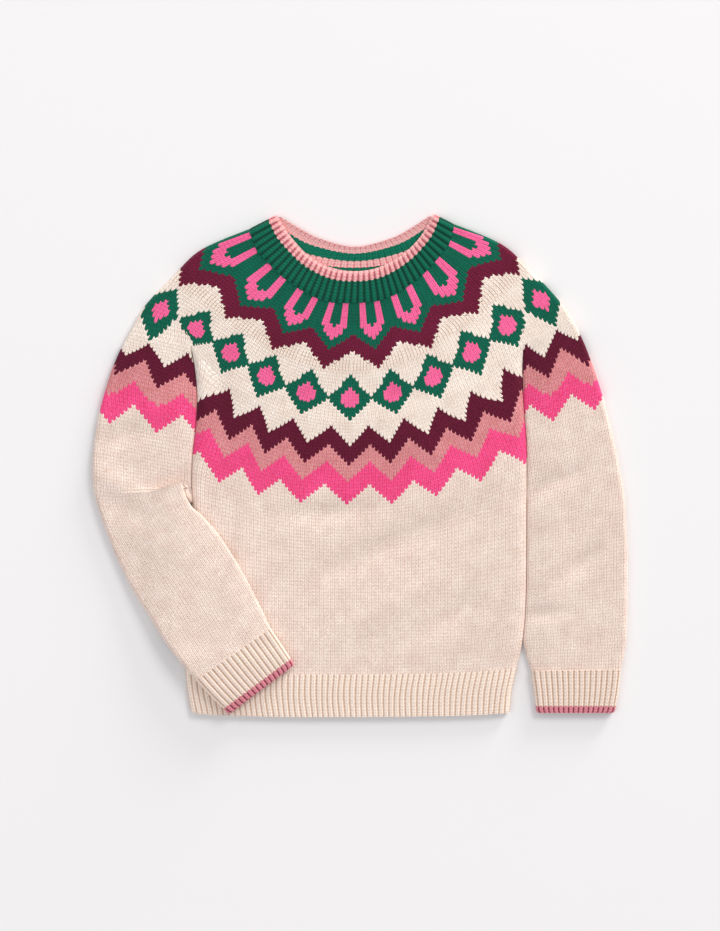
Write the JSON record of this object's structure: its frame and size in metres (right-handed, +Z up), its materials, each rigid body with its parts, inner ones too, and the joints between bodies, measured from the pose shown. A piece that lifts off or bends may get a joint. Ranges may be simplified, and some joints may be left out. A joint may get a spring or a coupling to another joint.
{
  "type": "fair isle jumper",
  "caption": "Child's round-yoke knitted jumper laid flat, front up, with one straight sleeve and one bent over the hem; ribbed neck, cuffs and hem.",
  "frame": {"origin": "middle of the bounding box, on the table that the back of the jumper lies on", "axes": "+Z up from the table, out of the front; +Y towards the neck; +X towards the straight left sleeve"},
  "size_m": [0.5146, 0.483, 0.0185],
  "materials": {
    "cream_knit": "cream marl stockinette knit with a stranded yoke pattern in green, burgundy, dusty pink and neon pink, soft and matt",
    "cream_rib": "cream marl one-by-one rib knit, the cuff edges in dusty rose",
    "green_rib": "doubled one-by-one rib knit in bottle green with pale pink edges"
  },
  "bodies": {
    "root": {"front": "cream_knit", "back": "cream_knit", "right_sleeve": "cream_knit", "left_sleeve": "cream_knit", "front_hem": "cream_rib", "back_hem": "cream_rib", "right_cuff": "cream_rib", "left_cuff": "cream_rib", "neckband": "green_rib"}
  },
  "joints": []
}
